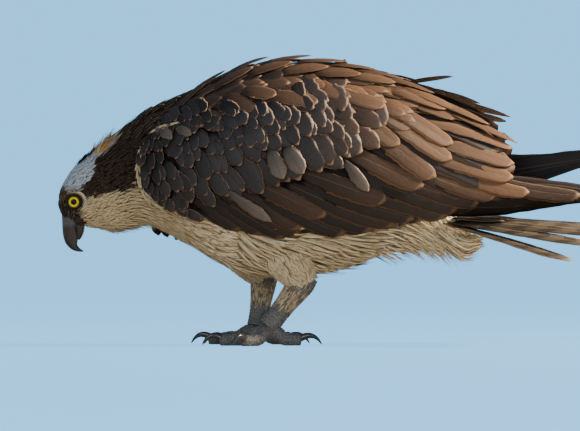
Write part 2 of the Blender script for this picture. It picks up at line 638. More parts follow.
TRACTS = [
    # name, from, to, row step, gap, length, width, rise at root, quarter and tip, camber, outline, fringe
    ("face_feathers", 0.25, 4.6, 2.1, 1.9, 8.8, 3.3, (-0.9, -0.3, 0.0), 0.02, "long", 0.15),
    ("neck_feathers", 4.4, 7.6, 3.2, 3.2, 18, 4.0, (-2.5, -0.7, 1.2), 0.12, "lance", 0.4),
    ("breast_feathers", 7.3, 12.2, 4.0, 3.6, 33, 8.0, (-2.6, -1.1, 0.0), 0.02, "lance", 0.15),
    ("belly_feathers", 12.0, 17.9, 4.0, 3.6, 35, 8.0, (-2.6, -1.1, 0.2), 0.02, "lance", 0.15),
]
UNDER_WING = {"x": (-88, 100), "z": (140, 238)}
UNDER_MANTLE = {"from": 7.4, "half": 40}
BILL_BASE = {"x": -184.5, "z": 131.0}
EYE_BARE = 9.2
SEEN_AT = 0.6
for number, tract_row in enumerate(TRACTS):
    name, first, last, step, gap, length, width, rise, camber, outline, fringe = tract_row
    chance = np.random.default_rng(40 + number)
    root = rows_of(first, last, step, gap)
    root += chance.normal(0, 1, root.shape) * [0.02, 1.0]
    x, _, z = head_surface(root[:, 0], root[:, 1])[0].T
    hidden = (x > UNDER_WING["x"][0]) & (x < UNDER_WING["x"][1])
    hidden &= (z > UNDER_WING["z"][0]) & (z < UNDER_WING["z"][1])
    hidden |= np.hypot(x - EYE["x"], z - EYE["z"]) < EYE_BARE
    hidden |= (root[:, 0] > UNDER_MANTLE["from"]) & (np.abs(root[:, 1] - 90) < UNDER_MANTLE["half"])
    hidden |= (x < BILL_BASE["x"]) & (z < BILL_BASE["z"] + chance.uniform(-3, 1.5, len(x)))
    root = root[~hidden]
    at, count = root[:, 0], len(root)
    size = length * chance.uniform(0.8, 1.2, count) * (0.75 + 0.25 * soft(at, first, (first + last) / 2))
    size *= 0.55 + 0.45 * soft(at, 0.3, 1.6)
    tip = tips_of(root, size / stretch(head_surface, root, 5), chance.normal(0, 3.0, count))
    part = root * (1 - SEEN_AT) + tip * SEEN_AT
    tint = markings(head_surface(part[:, 0], part[:, 1])[0], np.clip(chance.normal(0, 0.5, count), -1, 1))
    vary = 0.04 + 0.1 * soft(at, 3, 6)
    tint = tint * (1 + vary * chance.uniform(-1, 1, count))[:, None]
    loose = chance.uniform(-0.3, 0.5, count) * soft(at, 2.5, 6)
    lift = np.array(rise) + np.array([0, 0, 1.0]) * loose[:, None]
    tract = feathers(name, head_surface, root, tip, width * chance.uniform(0.85, 1.15, count), lift, tint,
                     soft_finish, outline=outline, thick=0.2, camber=camber, fringe=fringe, seed=number,
                     home=body_home(root))


# Lore bristles: short stiff dark bristles between the eye and the bill, rooted in the face and combed down
# over the base of the bill.
chance = np.random.default_rng(55)
count = 300
root = np.stack([chance.uniform(0.4, 1.5, count), chance.uniform(-38, 218, count)], -1)
tip = np.stack([np.maximum(root[:, 0] - chance.uniform(0.5, 1.1, count), 0.02),
                root[:, 1] + chance.normal(0, 3, count)], -1)
tint = mix(DARK * 1.3, np.array([0.10, 0.085, 0.07]), chance.uniform(0, 1, count) ** 2)
outer = 0.8 + 2.4 * np.abs(np.cos(np.radians(tip[:, 1])))
lift = np.stack([np.full(count, -0.8), np.full(count, 0.4), outer], -1)
bristles = feathers("lore_bristles", head_surface, root, tip, 1.5, lift, tint, soft_finish, outline="lance",
                    thick=0.25, camber=0.1, seed=56, home=body_home(root))


# Mantle and rump: broad dark feathers with pale rims, rooted in rows down the back between the wings, and
# browner towards the rump.
MANTLE = {"from": 6.6, "to": 16.8, "step": 9.0, "gap": 8.0, "half": 44, "grown": 9.5}
chance = np.random.default_rng(60)
root = rows_of(MANTLE["from"], MANTLE["to"], MANTLE["step"], MANTLE["gap"])
root = root[np.abs(root[:, 1] - 90) < MANTLE["half"]]
root += chance.normal(0, 1, root.shape) * [0.05, 1.6]
count = len(root)
here = body_surface(root[:, 0], root[:, 1])[0]
grown = soft(root[:, 0], MANTLE["from"], MANTLE["grown"])
reach = (18 + 14 * grown) * chance.uniform(0.8, 1.2, count) / stretch(body_surface, root)
tip = tips_of(root, reach, chance.normal(0, 2.5, count))
browner = 0.7 * soft(here[:, 0], -60, 60) * chance.uniform(0.4, 1, count)
tint = mix(DARK, np.array([0.15, 0.08, 0.045]), browner)
back = feathers("mantle_feathers", body_surface, root, tip, 7 + 7 * grown, (-3, -0.4, 2.2), tint,
                soft_finish, outline="covert", grid=(8, 5), thick=0.35, camber=0.14, fray=0.04, fringe=0.6,
                seed=61, home=body_home(root))

# Tufts: loose soft feathers that stand out from the coat at the nape's crest, the shaggy throat, the belly,
# the flanks and the fluff under the tail.
TUFTS = [
    # name, from and to (station, angle), count, length, width, lift of the tip, colours, seed
    ("nape_crest", (4.9, 58), (6.0, 122), 130, 16, 3.4, (1.0, 7.5), (WHITE, ORANGE, BUFF), 31),
    ("crest_streak", (3.9, 76), (4.8, 104), 60, 15, 3.2, (1.0, 3.5), (DARK, DARK, BLACKISH), 32),
    ("throat_tufts", (1.4, -122), (5.8, -58), 170, 16, 3.6, (1.5, 6.0), (CREAM, CREAM * 0.85, CREAM), 33),
    ("belly_tufts", (9.6, -118), (13.2, -62), 200, 26, 5.5, (1.0, 6.5), (CREAM, WHITE, WHITE), 36),
    ("vent_tufts", (13.6, -150), (17.8, -30), 650, 26, 4.2, (3.0, 17.0),
     (WHITE * 1.5, WHITE * 1.3, WHITE), 37),
    ("flank_tufts_left", (10.4, -66), (13.4, -12), 210, 36, 8.5, (2.0, 8.0), (CREAM, WHITE, WHITE), 38),
    ("flank_tufts_right", (10.4, 192), (13.4, 246), 210, 36, 8.5, (2.0, 8.0), (CREAM, WHITE, WHITE), 39),
]
for name, low, high, count, length, width, (least, most), colours, number in TUFTS:
    chance = np.random.default_rng(number)
    root = np.stack([chance.uniform(low[0], high[0], count), chance.uniform(low[1], high[1], count)], -1)
    root = root[np.argsort(root[:, 0])[::-1]]
    reach = length * chance.uniform(0.7, 1.25, count) / stretch(head_surface, root)
    tip = tips_of(root, reach, chance.normal(0, 3.0, count))
    tint = np.array(colours)[chance.integers(0, 3, count)] * chance.uniform(0.85, 1.1, count)[:, None]
    outer = chance.uniform(least, most, count)
    lift = np.stack([np.full(count, -1.6), np.full(count, 0.2 * least), outer], -1)
    tuft = feathers(name, head_surface, root, tip, width * chance.uniform(0.7, 1.2, count), lift, tint,
                    soft_finish, outline="lance", grid=(7, 3), thick=0.25, fringe=0.1, seed=number,
                    home=body_home(root))

# Flank drape: long pale flank feathers, rooted above each thigh, that fall over the thigh's top and stand
# clear of it at their tips.
DRAPE = {"left": 11.6, "right": 10.7}
DRAPE_COUNT = 260


def other_side(places):
    """The same places (station, angle) on the right of the body."""
    return np.stack([places[:, 0], 180 - places[:, 1]], -1)


for side, leg in LEGS.items():
    chance = np.random.default_rng(90 + leg["side"])
    count = DRAPE_COUNT
    root = np.stack([DRAPE[side] + chance.uniform(-1.2, 0.9, count), chance.uniform(-52, -34, count)], -1)
    tip = root + np.stack([chance.uniform(0.8, 1.4, count), chance.uniform(-18, -8, count)], -1)
    if side == "right":
        root, tip = other_side(root), other_side(tip)
    lift = np.stack([np.full(count, -4.5), chance.uniform(-1.5, 1, count), chance.uniform(3, 12, count)], -1)
    width = 7.5 * chance.uniform(0.6, 1.2, count)
    tint = mix(CREAM, WHITE, chance.uniform(0, 1, count))
    drape = feathers(f"flank_drape_{side}", head_surface, root, tip, width, lift, tint, soft_finish,
                     outline="lance", grid=(8, 3), thick=0.2, camber=0.05, seed=91, home=body_home(root))


# Eye crescents: the short white feathers that curve round the back of each eye, in two rows rooted in the
# face beside the lid.
CRESCENT_COUNT = 13
CRESCENT_INNER = 10.2


def on_face(points):
    """Places (station, angle) on the left of the face nearest to (x, z) points."""
    station, angle = np.meshgrid(np.linspace(0, 6, 241), np.linspace(-88, 88, 177), indexing="ij")
    here = head_surface(station.ravel(), angle.ravel())[0][:, (0, 2)]
    nearest = np.argmin(np.linalg.norm(here[None] - np.asarray(points, float)[:, None], axis=-1), axis=1)
    return np.stack([station.ravel()[nearest], angle.ravel()[nearest]], -1)


turn = np.radians(np.linspace(78, -14, CRESCENT_COUNT))
out = CRESCENT_INNER + np.arange(CRESCENT_COUNT) % 2
ring = np.stack([EYE["x"] + out * np.cos(turn), EYE["z"] + out * np.sin(turn)], -1)
swept = ring + 5.0 * np.stack([np.sin(turn) * 0.7 + 0.5, -np.cos(turn) * 0.9], -1)
for side in ("left", "right"):
    root, tip = on_face(ring), on_face(swept)
    if side == "right":
        root, tip = other_side(root), other_side(tip)
    crescent = feathers(f"eye_crescent_{side}", head_surface, root, tip, 1.9, (-0.2, 0.9, 1.1),
                        np.broadcast_to(WHITE * 1.2, (CRESCENT_COUNT, 3)), soft_finish, outline="lance",
                        thick=0.25, seed=57)


# Wing: each is folded along the flank, and its feathers lie on one smooth outer surface. It is drawn from
# the wrist to the primaries' tips as rows of x, height of its widest line, rise above it, fall below it and
# half width. The right wing hangs lower at the wrist.
WING = np.array([
    [-126, 167, 44, 50, 47],
    [-103, 172, 62, 70, 63],
    [-68, 178, 82, 86, 76],
    [-18, 182, 99, 100, 84],
    [32, 183, 103, 105, 86],
    [82, 181, 99, 100, 82],
    [132, 176, 89, 85, 72],
    [182, 166, 74, 66, 58],
    [232, 157, 53, 45, 45],
    [282, 152, 28, 26, 33],
    [332, 149, 17, 15, 23],
    [372, 147, 11, 10, 14],
])
WING_SQUARE = 0.8
FAR_WING = {"pitch": 9.5, "x": 60.0, "z": 165.0, "back": 3.0, "drop": 4.0}


def wing_row(x):
    at = np.interp(x, WING[:, 0], np.arange(len(WING)))
    return row_at(WING, at)


def left_wing(x, angle):
    _, zc, up, down, w = np.moveaxis(wing_row(x), -1, 0)
    s = np.sin(np.radians(angle))
    reach = np.maximum(np.cos(np.radians(angle)), 0) ** WING_SQUARE
    here = np.stack([x, -w * reach, zc + np.where(s > 0, up, down) * s], -1)
    return here, np.stack([x, 0 * x, zc], -1)


def right_wing(x, angle):
    turn = np.radians(FAR_WING["pitch"])
    out = []
    for p in left_wing(x, angle):
        dx, dz = p[..., 0] - FAR_WING["x"], p[..., 2] - FAR_WING["z"]
        px = FAR_WING["x"] + FAR_WING["back"] + dx * np.cos(turn) - dz * np.sin(turn)
        pz = FAR_WING["z"] - FAR_WING["drop"] + dx * np.sin(turn) + dz * np.cos(turn)
        out.append(np.stack([px, -p[..., 1], pz], -1))
    return out


def wing_angle(x, z):
    _, zc, up, down, _ = np.moveaxis(wing_row(x), -1, 0)
    s = (z - zc) / np.where(z > zc, up, down)
    return np.degrees(np.arcsin(np.clip(s, -0.97, 0.97)))


def on_wing(line, t):
    """Points spaced evenly along a line of (x, z) places, as places on the wing."""
    line = np.array(line, float)
    run = np.concatenate([[0], np.cumsum(np.hypot(*np.diff(line, axis=0).T))])
    x, z = np.interp(t, run / run[-1], line[:, 0]), np.interp(t, run / run[-1], line[:, 1])
    return np.stack([x, wing_angle(x, z)], -1)


def over_back(line, t):
    """Points along a line of (x, angle) places."""
    line = np.array(line, float)
    at = np.linspace(0, 1, len(line))
    return np.stack([np.interp(t, at, line[:, 0]), np.interp(t, at, line[:, 1])], -1)


# Flight feathers: stiff primaries, secondaries and tertials in tiers from the innermost outwards, rooted in
# the wing's arm. Browns run from blackish to the sunlit tan of the rear.
BROWN = np.array([0.0125, 0.0110, 0.0122])
INK = np.array([0.0115, 0.0120, 0.0160])
TAN = np.array([0.155, 0.084, 0.045])
GREY = np.array([0.085, 0.074, 0.066])
TIERS = [
    dict(name="primaries", count=8, width=24, rise=(-12, -11, -8.5), sag=2, tilt=0.02, outline="long",
         roots=[[112, 150], [126, 164]], tips=[[256, 136], [318, 141], [366, 151]],
         brown=(0.5, 0.6), fringe=0.15),
    dict(name="secondaries", count=16, width=25, rise=(-11, -9, -7.5), sag=-2, tilt=0.075, outline="flight",
         roots=[[-92, 150], [-18, 152], [110, 160]], tips=[[-32, 112], [62, 107], [132, 116], [206, 136]],
         brown=(0.9, 1.0), fringe=0.5),
    dict(name="tertials", count=9, width=33, rise=(-8, -6, -3.5), sag=0, tilt=-0.08, outline="flight",
         roots=[[66, 10], [78, 74]], on="back", brown=(1.2, 3.0), fringe=0.5,
         tips=[[176, 130], [222, 156], [247, 182], [225, 212], [192, 236]]),
]
# The far wing's longest primaries sink towards the tail, in degrees round the wing.
FAR_DROOP = -30.0
WING_SIDES = (("left", left_wing, 1), ("right", right_wing, -1))
TIER_SEEDS = {"left": 200, "right": 250}


def tier_places(tier):
    t = np.linspace(0, 1, tier["count"])
    tip = on_wing(tier["tips"], t)
    root = over_back(tier["roots"], t) if tier.get("on") == "back" else on_wing(tier["roots"], t)
    return t, root, tip


for side, surface, mirror in WING_SIDES:
    for number, tier in enumerate(TIERS):
        chance = np.random.default_rng(TIER_SEEDS[side] + number)
        t, root, tip = tier_places(tier)
        tip = tip + chance.normal(0, 1, tip.shape) * [2.2, 0.8]
        if side == "right" and tier["name"] == "primaries":
            tip[:, 1] += FAR_DROOP * t
        shade = BROWN * np.interp(t, [0, 1], tier["brown"])[:, None]
        shade = shade * chance.uniform(0.75, 1.3, len(t))[:, None]
        width = tier["width"] * chance.uniform(0.9, 1.1, len(t))
        vanes = feathers(f"{tier['name']}_{side}", surface, root, tip, width, np.array(tier["rise"]), shade,
                         flight_finish, outline=tier["outline"], grid=(18, 9), thick=0.6, camber=0.09,
                         tilt=mirror * tier["tilt"], sag=tier["sag"], fray=0.03, fringe=tier["fringe"],
                         seed=300 + number)

# Coverts and scapulars: the smaller feathers that clothe the wing's arm and shoulder, row over row from the
# outermost layer in. Each row gives its tips as (x, z) from the wrist backwards, then spacing, length, width
# and slant below the level, each from the wrist to the elbow, and how high it lies.
COVERTS = [
    ([[-118, 148], [-105, 140], [-91, 134], [-76, 128], [-63, 123]],
     (7.5, 9), (15, 20), (9.5, 12), (62, 42), 0.0),
    ([[-80, 132], [-63, 141], [-38, 149], [-6, 154], [17, 159], [37, 168], [69, 179], [94, 195]],
     (10, 12.5), (34, 50), (16, 23), (60, 44), 0.2),
    ([[-121, 155], [-108, 146], [-93, 140], [-78, 137]],
     (7.5, 9), (13, 18), (9.5, 12), (64, 48), 0.6),
    ([[-100, 149], [-78, 155], [-62, 165], [-36, 174], [-13, 182], [10, 192], [35, 204], [67, 217]],
     (9.5, 11.5), (27, 36), (14, 20), (60, 42), 1.0),
    ([[72, 250], [97, 237], [120, 215]],
     (13, 13), (36, 36), (18, 18), (30, 42), 0.6),
    ([[50, 247], [64, 237], [87, 217], [104, 200]],
     (12, 12), (32, 32), (18, 18), (38, 44), 0.9),
    ([[-116, 156], [-96, 167], [-78, 179], [-53, 188], [-26, 195], [2, 205], [32, 219]],
     (9.5, 12.5), (20, 28), (12, 18), (62, 44), 1.5),
    ([[32, 239], [50, 227], [70, 208], [82, 193]],
     (11, 11), (28, 28), (16, 16), (40, 48), 1.3),
    ([[-122, 165], [-108, 177], [-88, 189], [-60, 198], [-30, 206], [2, 217], [22, 229]],
     (8.5, 11), (17, 24), (11, 16), (64, 42), 2.0),
    ([[-125, 175], [-114, 189], [-91, 200], [-60, 209], [-26, 218], [0, 229]],
     (8, 10.5), (16, 22), (10, 15), (66, 40), 2.5),
    ([[-125, 186], [-114, 199], [-92, 210], [-62, 219], [-32, 227]],
     (7.5, 9.5), (14, 20), (9.5, 13), (66, 38), 3.0),
    ([[-121, 197], [-110, 208], [-90, 218], [-62, 228]],
     (7.5, 9), (13, 18), (9.5, 12.5), (64, 34), 3.5),
]

# Large feathers laid one over the next, lowest first: root (x, z), tip (x, z), width and how sunburnt.
LAID = [
    (-98, 165, -28, 112, 15, 0.0), (-88, 163, -6, 108, 16, 0.0), (-78, 161, 17, 105, 16, 0.0),
    (-68, 165, 32, 106, 17, 0.05), (-53, 167, 32, 114, 17, 0.1), (-28, 159, 77, 109, 18, 0.0),
    (-6, 161, 104, 114, 18, 0.0), (-28, 167, 58, 128, 19, 0.2), (17, 161, 127, 119, 18, 0.05),
    (32, 163, 146, 125, 18, 0.03), (32, 173, 118, 144, 21, 0.15), (67, 163, 169, 131, 18, 0.05),
    (97, 165, 189, 135, 18, 0.04), (117, 170, 210, 141, 17, 0.08),
    (190, 175, 312, 149, 16, 0.2), (77, 195, 154, 158, 21, 0.3),
    (152, 173, 227, 148, 16, 0.45), (172, 175, 260, 152, 15, 0.8), (157, 190, 244, 167, 17, 0.8),
    (100, 217, 166, 167, 21, 0.45), (157, 205, 245, 181, 16, 0.75), (92, 245, 142, 215, 18, 0.5),
    (82, 233, 130, 199, 19, 0.5), (110, 230, 182, 185, 19, 0.7), (152, 223, 244, 196, 14, 0.9),
    (114, 243, 183, 200, 19, 0.8), (137, 237, 217, 218, 17, 0.8), (130, 247, 188, 226, 18, 0.7),
    (32, 261, 82, 246, 16, 0.5), (-6, 249, 50, 241, 17, 0.5), (62, 253, 116, 237, 17, 0.6),
    (-56, 241, -23, 229, 14, 0.35), (-78, 233, -46, 224, 12, 0.2), (-46, 249, -11, 232, 15, 0.45),
    (-92, 223, -63, 217, 10, 0.1), (-28, 253, 8, 247, 16, 0.5),
]
# Old coverts worn pale: root (x, z), tip (x, z) and width.
WORN = [(-43, 155, 4, 125, 12), (-111, 213, -93, 204, 11), (-93, 216, -74, 208, 10), (1, 196, 15, 166, 17),
        (16, 198, 35, 171, 19), (75, 184, 99, 154, 13)]
# Ridge feathers of the shoulder and rump: root (x, angle), tip (x, angle), width, lift of the tip, sunburn.
RIDGE = [
    (-100, 62, -62, 70, 13, 2.5, 0.1), (-85, 72, -40, 77, 17, 4, 0.3), (-62, 60, -14, 68, 18, 3, 0.35),
    (-50, 74, 2, 79, 18, 5, 0.4), (-30, 60, 24, 70, 18, 3, 0.5), (-12, 74, 44, 80, 18, 5, 0.6),
    (5, 58, 60, 66, 18, 3, 0.5), (22, 73, 80, 80, 18, 4, 0.7), (38, 58, 92, 64, 18, 3, 0.55),
    (50, 72, 108, 80, 17, 3, 0.6), (70, 60, 126, 66, 18, 3, 0.6), (78, 71, 134, 80, 17, 3, 0.5),
    (100, 68, 164, 78, 17, 4, 0.6), (112, 56, 176, 60, 17, 3, 0.7), (122, 64, 188, 68, 18, 4, 0.8),
    (142, 64, 218, 71, 17, 6, 0.8), (165, 60, 246, 68, 15, 5, 0.9),
]
# Rounded coverts on the low edge of the far wing's wrist: root (x, z), tip (x, z), width and how high.
WRIST = [(-121, 163, -119, 143, 13, 1.2), (-114, 161, -110, 140, 14, 1.6), (-107, 159, -101, 138, 14, 2.0),
         (-99, 157, -92, 137, 14, 2.4)]
# One long feather stands up from the far wing's ridge.
RAISED = (134, 76, 189, 80, 6, 19, 0.6)
RAISED_LIFT = 15.0
SCAPULARS = {"columns": 11, "count": 8, "first": -96, "step": 20, "length": 46, "width": 20,
             "angles": (40, 86), "rise": (-5, -3, 0.0)}
COVERT_LIFT = {"root": -4.8, "quarter": -2.2, "tip": -0.2}
LAID_LEVEL = {"first": -6.0, "last": 1.0, "rise": [-1.5, 0, 1.2]}
# Where the far wing's lower edge is bare behind its wrist, because the breast laps it.
BARE = {"level": 0.7, "x": -86, "z": 135}
# Pale breast feathers lap the wing's front edge, along this line of (x, z) points.
EDGE = np.array([[-84, 222], [-109, 214], [-121, 207], [-127, 196], [-130, 180], [-129, 165], [-125, 151],
                 [-114, 140], [-99, 130]])
EDGE_TUFTS = 90


def run_of(line):
    """How far along a line of points each one is."""
    return np.concatenate([[0], np.cumsum(np.hypot(*np.diff(line, axis=0).T))])


def row_places(row, chance):
    """Roots, tips and widths of one row, spaced wider towards the elbow."""
    tips, spacing, length, width, aim, level = row
    line = np.array(tips, float)
    run = run_of(line)
    at = [0.0]
    while at[-1] < run[-1]:
        at.append(at[-1] + spacing[0] + (spacing[1] - spacing[0]) * at[-1] / run[-1])
    at = np.array(at) + chance.uniform(-1, 0.3, len(at)) * spacing[0] * 0.4
    t = np.clip(at / run[-1], 0, 1)
    part = lambda pair: pair[0] + (pair[1] - pair[0]) * t
    tip = np.stack([np.interp(at, run, line[:, 0]), np.interp(at, run, line[:, 1])], -1)
    wide = part(width) * chance.uniform(0.85, 1.3, len(t))
    tip += chance.normal(0, 0.16, tip.shape) * wide[:, None]
    slant = np.radians(part(aim) + chance.normal(0, 12, len(t)))
    reach = part(length) * chance.uniform(1.0, 1.3, len(t))
    root = tip + np.stack([-np.cos(slant), np.sin(slant)], -1) * reach[:, None]
    return root, tip, wide, np.full(len(t), level)


def edge_places(points):
    return np.stack([points[:, 0], wing_angle(points[:, 0], points[:, 1])], -1)


def as_places(points):
    return edge_places(np.maximum(points, [WING[0, 0], 0]))


for side, surface, mirror in WING_SIDES:
    chance = np.random.default_rng(500 + (side == "right"))
    # scapulars fill the shoulder under the ridge feathers
    places = []
    for column in range(SCAPULARS["columns"]):
        x = SCAPULARS["first"] + (SCAPULARS["columns"] - 1 - column) * SCAPULARS["step"]
        angle = np.linspace(*SCAPULARS["angles"], SCAPULARS["count"]) + (column % 2) * 3
        angle = angle + chance.normal(0, 1.5, SCAPULARS["count"])
        start = x + chance.normal(0, 5, len(angle))
        end = start + SCAPULARS["length"] * chance.uniform(0.8, 1.3, len(angle))
        places.append(np.stack([start, angle, end, angle - 4 + chance.normal(0, 2.5, len(angle))], -1))
    places = np.concatenate(places)
    count = len(places)
    sunny = np.clip(0.1 + 0.5 * soft(places[:, 0], -60, 80) + chance.uniform(-0.1, 0.25, count), 0, 1)
    width = SCAPULARS["width"] * chance.uniform(0.8, 1.15, count)
    tone = mix(BROWN, TAN, sunny) * chance.uniform(0.75, 1.2, count)[:, None]
    vanes = feathers(f"scapulars_{side}", surface, places[:, :2], places[:, 2:], width, SCAPULARS["rise"],
                     tone, covert_finish, outline="covert", grid=(10, 5), thick=0.4, tilt=mirror * -0.03,
                     fray=0.03, fringe=chance.uniform(0.3, 0.9, count), seed=610)
    # the large feathers
    laid = np.array(LAID, float)
    laid[:, :4] += chance.normal(0, 1.5 if side == "right" else 0.01, (len(laid), 4))
    level = np.linspace(LAID_LEVEL["first"], LAID_LEVEL["last"], len(laid))[:, None]
    tone = mix(BROWN, TAN, laid[:, 5]) * chance.uniform(0.85, 1.1, len(laid))[:, None]
    vanes = feathers(f"laid_feathers_{side}", surface, as_places(laid[:, :2]), as_places(laid[:, 2:4]),
                     laid[:, 4], level + LAID_LEVEL["rise"], tone, flight_finish, outline="flight",
                     grid=(20, 9), thick=0.5, camber=0.07, tilt=mirror * -0.05, sag=-0.6, fray=0.04,
                     fringe=0.45 + 0.5 * laid[:, 5], seed=620, lean=-0.2 * mirror)
    ridge = np.array(RIDGE + ([RAISED] if side == "right" else []), float)
    up = ridge[:, 5] > RAISED_LIFT
    low = np.where(up, -4.0, 0.3 * ridge[:, 5])
    lift = np.stack([low.clip(max=0) - 4.0, low, ridge[:, 5]], -1)
    tone = mix(BROWN, TAN, ridge[:, 6]) * chance.uniform(0.8, 1.15, len(ridge))[:, None]
    vanes = feathers(f"ridge_feathers_{side}", surface, ridge[:, :2], ridge[:, 2:4], ridge[:, 4], lift, tone,
                     flight_finish, outline="covert", grid=(16, 7), thick=0.5, camber=0.1,
                     tilt=np.where(up, 0.6, -0.04) * mirror, fray=0.03, fringe=0.7, seed=630)
    # the coverts, row over row, with the far wrist's own at the end
    parts = [row_places(row, chance) for row in COVERTS]
    root, tip, wide, level = (np.concatenate(group) for group in zip(*parts))
    if side == "right":
        keep = (level > BARE["level"]) | (tip[:, 0] < BARE["x"]) | (tip[:, 1] > BARE["z"])
        wrist = np.array(WRIST, float)
        root = np.concatenate([root[keep], wrist[:, :2]])
        tip = np.concatenate([tip[keep], wrist[:, 2:4]])
        wide = np.concatenate([wide[keep], wrist[:, 4]])
        level = np.concatenate([level[keep], wrist[:, 5]])
    count = len(root)
    tone = mix(INK, BROWN * 1.3, chance.uniform(0, 1, count)) * chance.uniform(0.7, 1.6, count)[:, None]
    tone = mix(tone, TAN, 0.32 * soft(tip[:, 0], 30, 120) * chance.uniform(0.3, 1, count))
    curl = chance.uniform(-0.3, 0.7, count)
    lift = np.stack([level + COVERT_LIFT["root"], level + COVERT_LIFT["quarter"],
                     level + COVERT_LIFT["tip"] + curl], -1)
    vanes = feathers(f"coverts_{side}", surface, as_places(root), as_places(tip), wide, lift, tone,
                     covert_finish, outline="covert", grid=(12, 7), thick=0.35, camber=0.09,
                     tilt=mirror * 0.05, fray=0.07, lean=chance.uniform(-0.2, 0.3),
                     fringe=chance.uniform(0.6, 1.0, count), seed=600)
    # the pale tufts along the front edge; only the upper half of the right wing's edge has them
    run = run_of(EDGE)
    part = chance.uniform(0, 1 if side == "left" else 0.55, EDGE_TUFTS) ** 1.3
    at = part * (run[-1] - 18)
    late = at + chance.uniform(8, 17, EDGE_TUFTS)
    start, end = (np.stack([np.interp(d, run, EDGE[:, k]) for k in (0, 1)], -1) for d in (at, late))
    start += chance.normal(0, 1.1, start.shape)
    end += chance.normal(0, 1, end.shape) * (0.6 + 2.0 * part)[:, None] + [1.0, 0]
    lift = mix(np.array([-0.5, 2.8, 4.0]), np.array([-2.5, 0.0, 0.8]), soft(part, 0.2, 0.6))
    tone = mix(CREAM, WHITE, chance.uniform(0, 1, EDGE_TUFTS))
    vanes = feathers(f"wing_edge_tufts_{side}", surface, edge_places(start), edge_places(end), 1.7, lift,
                     tone, soft_finish, outline="lance", grid=(7, 3), thick=0.25, camber=0.1, fringe=0.1,
                     seed=650)
    worn = np.array(WORN, float)
    vanes = feathers(f"worn_coverts_{side}", surface, as_places(worn[:, :2]), as_places(worn[:, 2:4]),
                     worn[:, 4], (-1.0, 2.6, 4.0), np.broadcast_to(GREY, (len(worn), 3)), covert_finish,
                     outline="covert", grid=(12, 9), thick=0.4, tilt=mirror * 0.02, fray=0.08, fringe=0.7,
                     seed=640)

# Wing arm: the flesh of the folded wing under its coverts, one closed shell for each side, which carries the
# roots of the wing's feathers.
ARM = {"from": -112, "to": 166, "high": 84, "front_high": 34, "low": -26, "depth": 16, "lift": -6.5,
       "front": 0.3, "rim": -8.5, "rings": 30, "rows": 16}
for side, surface, _ in WING_SIDES:
    bm = bmesh.new()
    rings = []
    for u in np.linspace(0.004, 0.996, ARM["rings"]):
        v = np.linspace(0, 1, ARM["rows"])
        low = ARM["low"] + 12 * max(0, u - 0.5) - 13 * max(0, 1 - u / ARM["front"])
        high = ARM["front_high"] + (ARM["high"] - ARM["front_high"]) * min(1, u / ARM["front"])
        angle = low + (high - low) * v
        x = np.full(ARM["rows"], ARM["from"] + (ARM["to"] - ARM["from"]) * u)
        here, normal = outward(surface, x, angle)
        bulge = np.sqrt((1 - (2 * u - 1) ** 6) * (1 - (2 * v - 1) ** 4))[:, None]
        rim = np.interp(v, [0, 0.45, 1], [ARM["rim"], ARM["lift"], ARM["lift"]])[:, None]
        outer = here + normal * (rim - 3 * (1 - bulge))
        inner = outer - normal * (0.6 + ARM["depth"] * bulge)
        rings.append(metres(np.concatenate([outer, inner[::-1]])))
    loft(bm, rings)
    arm = object_from(bm, f"wing_arm_{side}", skin_finish)
    set_colour(arm.data, "Tint", np.broadcast_to(BROWN * 0.7, (len(arm.data.vertices), 3)))
    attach(arm, "root")
    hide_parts(f"wing_{side}")


# Tail: twelve stiff barred feathers fanned from a short root, the middle pair on top and the outer ones
# lowest and tilted. Its coverts are brown above the root, and white and fluffy below it.
TAIL = {"x": 158, "z": 131, "count": 12, "length": 196, "fan": 43, "droop": 3, "outer": 8, "sag": 4,
        "width": 31}


def tail_surface(a, s):
    fan = np.radians(s * TAIL["fan"])
    droop = np.radians(TAIL["droop"] + TAIL["outer"] * s**4)
    reach = a * (TAIL["length"] - 12 * s * s)
    x = TAIL["x"] + 8 + reach * np.cos(fan) * np.cos(droop)
    y = 12 * s + reach * np.sin(fan) * np.cos(droop)
    z = TAIL["z"] - 1 - 5 * np.abs(s) - reach * np.sin(droop) - TAIL["sag"] * a * a * (0.3 + s * s)
    here = np.stack([x, y, z], -1)
    return here, here - np.array([0, 0, 1.0])


UPRIGHT = {"edge": 0.65, "middle": -0.05}
chance = np.random.default_rng(70)
count = TAIL["count"]
place = np.linspace(-1, 1, count)
shade = np.array([0.080, 0.063, 0.043]) * chance.uniform(0.85, 1.15, count)[:, None]
rectrices = feathers("tail_feathers", tail_surface, np.stack([np.zeros(count), place], -1),
                     np.stack([np.ones(count), place], -1), TAIL["width"] - 13 * place**2, (0, 0, 0), shade,
                     tail_finish, outline="flight", grid=(26, 9), thick=0.7, camber=0.05, fray=0.03,
                     tilt=(UPRIGHT["edge"] * place**6 + UPRIGHT["middle"]) * np.sign(place), fringe=0.7,
                     seed=71, steps=(0.02, 0.02))
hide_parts("tail")
for name, lift, count, tone, size in (("upper_tail_coverts", (1.5, 3.5, 2.5), 40, BROWN * 1.6, 0.38),
                                      ("under_tail_coverts", (-4, -6, -5), 60, WHITE, 0.36)):
    chance = np.random.default_rng(75)
    s = chance.uniform(-0.75, 0.75, count)
    a = chance.uniform(-0.12, 0.1, count)
    tip = np.stack([a + size * chance.uniform(0.8, 1.1, count), s * 0.8], -1)
    shade = tone * chance.uniform(0.8, 1.15, count)[:, None]
    coverts = feathers(name, tail_surface, np.stack([a, s], -1), tip, 15, lift, shade, soft_finish,
                       grid=(9, 5), thick=0.4, camber=0.1, fray=0.05, fringe=0.5, seed=76,
                       steps=(0.02, 0.02))


